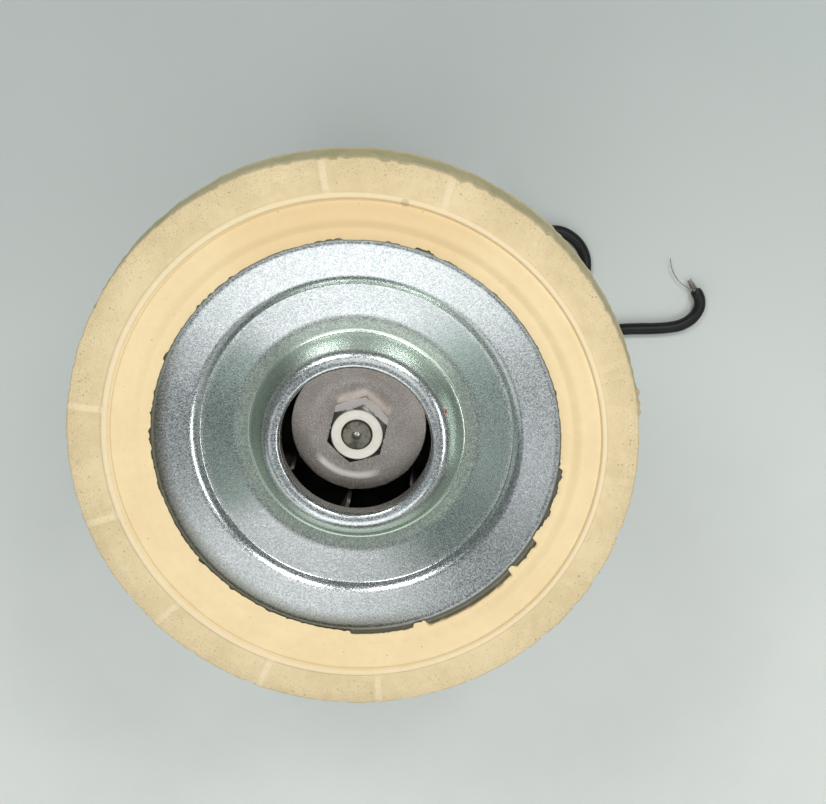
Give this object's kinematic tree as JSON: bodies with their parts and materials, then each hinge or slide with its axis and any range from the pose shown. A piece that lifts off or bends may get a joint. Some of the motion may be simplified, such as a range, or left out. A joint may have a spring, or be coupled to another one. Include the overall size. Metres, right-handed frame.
{
  "type": "vacuum motor unit",
  "caption": "Two-stage vacuum motor with a ribbed cream rubber gasket around its plated fan cover, a dished inlet with clamp nut and washer, and black leads at its tail.",
  "frame": {"origin": "on the shaft axis, in the plane of the rear bracket's flat underside", "axes": "+Z along the shaft towards the inlet, +X through the right-hand brush and towards the side where the leads leave, +Y across the field poles"},
  "size_m": [0.1656, 0.1306, 0.1438],
  "materials": {
    "cream_rubber": "satin, aged",
    "zinc_steel": "bright zinc plate, lightly speckled",
    "plain_steel": "plain",
    "cast_aluminium": "as cast",
    "sheet_aluminium": "dull sheet",
    "bearing_steel": "ground",
    "spring_steel": "drawn wire",
    "laminated_steel": "varnished laminations",
    "fibre_paper": "matt",
    "enamelled_copper": "enamelled wire",
    "brown_phenolic": "moulded",
    "brass": "plain",
    "plated_steel": "bright plate",
    "glass_sleeving": "varnished sleeving",
    "black_insulation": "semi-matt",
    "copper": "bare copper",
    "ground_steel": "ground",
    "washer_steel": "satin, warm grey",
    "cage_brass": "pressed",
    "carbon": "matt"
  },
  "bodies": {
    "housing": {"front_gasket": "cream_rubber", "fan_cover": "zinc_steel", "return_upper_disc": "plain_steel", "return_vanes": "plain_steel", "return_lower_disc": "plain_steel", "fan_bracket": "cast_aluminium", "front_bearing_outer": "bearing_steel", "front_circlip": "spring_steel", "field_core": "laminated_steel", "slot_liners": "fibre_paper", "field_coil_near": "enamelled_copper", "field_coil_far": "enamelled_copper", "rear_bracket": "cast_aluminium", "rear_bearing_outer": "bearing_steel", "brush_holder_left": "brown_phenolic", "brush_holder_right": "brown_phenolic", "brush_tube_left": "brass", "brush_tube_right": "brass", "brush_cap_left": "brass", "brush_cap_right": "brass", "brush_spring_left": "spring_steel", "brush_spring_right": "spring_steel", "holder_screws": "plated_steel", "through_bolts": "plated_steel", "lead_sleeves": "glass_sleeving", "lead_a": "black_insulation", "lead_b": "black_insulation", "lead_a_conductor": "copper", "lead_b_conductor": "copper", "jumper_left": "glass_sleeving", "jumper_right": "glass_sleeving"},
    "rotor": {"shaft": "ground_steel", "fan_nut": "plated_steel", "fan_washer": "washer_steel", "fan_hub": "plain_steel", "fan_1_front": "sheet_aluminium", "fan_1_vanes": "sheet_aluminium", "fan_1_back": "sheet_aluminium", "middle_spacer": "plain_steel", "fan_2_front": "sheet_aluminium", "fan_2_vanes": "sheet_aluminium", "fan_2_back": "sheet_aluminium", "lower_spacer": "plain_steel", "armature_core": "laminated_steel", "armature_winding": "enamelled_copper", "commutator_hub": "brown_phenolic", "commutator_bars": "copper", "front_bearing_inner": "bearing_steel", "rear_bearing_inner": "bearing_steel"},
    "front_cage": {"front_bearing_balls": "bearing_steel", "front_bearing_cage": "cage_brass"},
    "rear_cage": {"rear_bearing_balls": "bearing_steel", "rear_bearing_cage": "cage_brass"},
    "brush_left_body": {"brush_left": "carbon"},
    "brush_right_body": {"brush_right": "carbon"}
  },
  "joints": [
    {"name": "rotor_spin", "type": "hinge", "parent": "housing", "child": "rotor", "pos_m": [0, 0, 0.055], "axis": [0, 0, 1], "continuous": true},
    {"name": "front_cage_spin", "type": "hinge", "parent": "housing", "child": "front_cage", "pos_m": [0, 0, 0.0865], "axis": [0, 0, 1], "continuous": true},
    {"name": "rear_cage_spin", "type": "hinge", "parent": "housing", "child": "rear_cage", "pos_m": [0, 0, 0.007], "axis": [0, 0, 1], "continuous": true},
    {"name": "brush_left_slide", "type": "slide", "parent": "housing", "child": "brush_left_body", "axis": [-1, 0, 0], "range_m": [0, 0.005], "stiffness_N_per_m": 150, "springref_m": -0.012, "deforming": ["brush_spring_left"]},
    {"name": "brush_right_slide", "type": "slide", "parent": "housing", "child": "brush_right_body", "axis": [1, 0, 0], "range_m": [0, 0.005], "stiffness_N_per_m": 150, "springref_m": -0.012, "deforming": ["brush_spring_right"]}
  ],
  "couplings": [
    {"joint": "front_cage_spin", "follows": "rotor_spin", "ratio": 0.368},
    {"joint": "rear_cage_spin", "follows": "rotor_spin", "ratio": 0.368}
  ]
}
